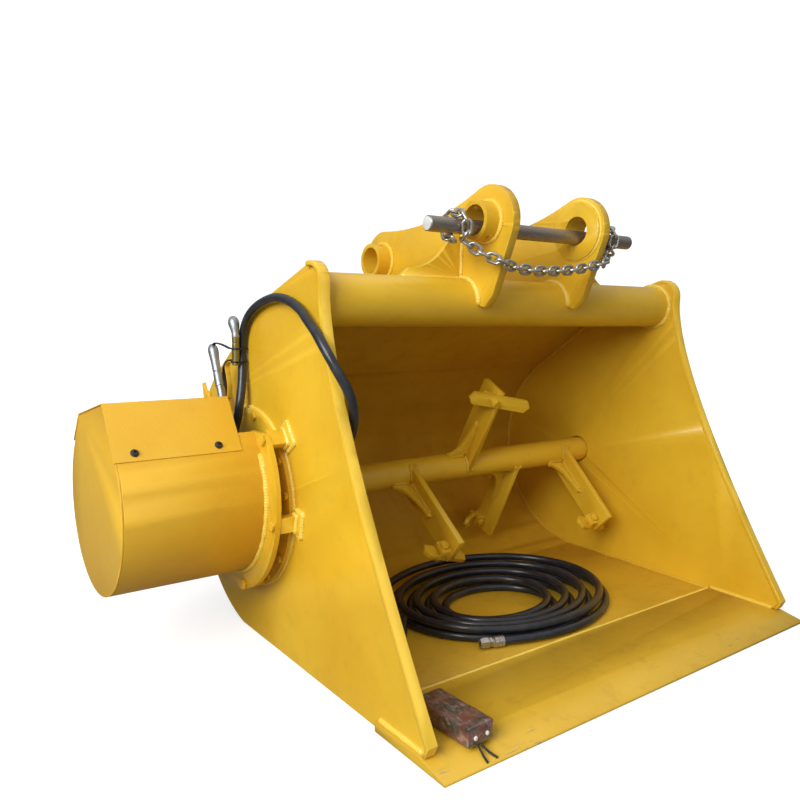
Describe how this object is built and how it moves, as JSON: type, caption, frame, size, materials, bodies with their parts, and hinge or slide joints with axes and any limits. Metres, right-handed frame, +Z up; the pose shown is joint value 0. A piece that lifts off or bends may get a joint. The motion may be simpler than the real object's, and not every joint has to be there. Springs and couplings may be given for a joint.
{
  "type": "excavator concrete mixing bucket",
  "caption": "Excavator bucket with pin ears, a driven paddle shaft across it, a motor guard on one side and a coiled supply hose, for mixing and placing concrete.",
  "frame": {"origin": "on the ground under the flat floor, midway between the side plates, 0.4 m behind the cutting lip's edge", "axes": "+X along the bucket's width towards the side without the motor, +Y from the lip to the back, +Z up"},
  "size_m": [1.877, 1.2739, 1.247],
  "materials": {
    "paint": "gloss yellow paint with a light orange-peel",
    "bare_steel": "turned or drawn bare steel",
    "zinc": "bright zinc plate",
    "hose_rubber": "smooth black hose cover",
    "black_paint": "satin black paint",
    "black_plastic": "matt black",
    "wrap_film": "dark box wrapped in creased clear film"
  },
  "bodies": {
    "bucket": {"bucket_shell": "paint", "side_plate_left": "paint", "side_plate_right": "paint", "edge_bar_left": "paint", "edge_bar_right": "paint", "lip_plate": "paint", "torque_tube": "paint", "ear_left": "paint", "ear_right": "paint", "ear_brace_left": "paint", "ear_brace_right": "paint", "front_boss_left": "paint", "front_boss_right": "paint", "rear_boss_left": "paint", "rear_boss_right": "paint", "front_disc_left": "paint", "front_disc_right": "paint", "rear_disc_left": "paint", "rear_disc_right": "paint", "lifting_chain": "zinc", "bearing_housing_left": "paint", "bearing_housing_right": "paint", "bearing_left": "bare_steel", "bearing_right": "bare_steel", "drive_bolts": "paint", "end_cover": "paint", "mount_plate": "paint", "motor_body": "black_paint", "motor_flange": "bare_steel", "port_fittings": "zinc", "guard_body": "paint", "guard_end_plate": "paint", "guard_flange": "paint", "guard_standoffs": "paint", "guard_bolts": "paint", "guard_lid": "paint", "lid_screws": "black_plastic", "return_line": "zinc", "spare_coupler": "zinc", "cable_ties": "black_plastic", "supply_hose": "hose_rubber", "hose_coil": "hose_rubber", "hose_fitting": "zinc"},
    "rotor": {"mixing_shaft": "paint", "paddle_arm_1": "paint", "paddle_arm_2": "paint", "paddle_arm_3": "paint", "paddle_arm_4": "paint", "paddle_arm_5": "paint", "paddle_arm_6": "paint", "blade_1": "paint", "blade_2": "paint", "blade_3": "paint", "blade_4": "paint", "blade_5": "paint", "blade_6": "paint", "blade_bolts": "paint", "shaft_coupling": "bare_steel"},
    "bar": {"lifting_bar": "bare_steel"},
    "box": {"control_box": "wrap_film"}
  },
  "joints": [
    {"name": "mixer_turn", "type": "hinge", "parent": "bucket", "child": "rotor", "pos_m": [0, 0.472, 0.396], "axis": [1, 0, 0], "continuous": true},
    {"name": "bar_slide", "type": "slide", "parent": "bucket", "child": "bar", "axis": [1, 0, 0], "range_m": [-0.08, 0.08]},
    {"name": "box_lift", "type": "slide", "parent": "bucket", "child": "box", "axis": [0, 0, 1], "range_m": [0, 0.2]}
  ]
}
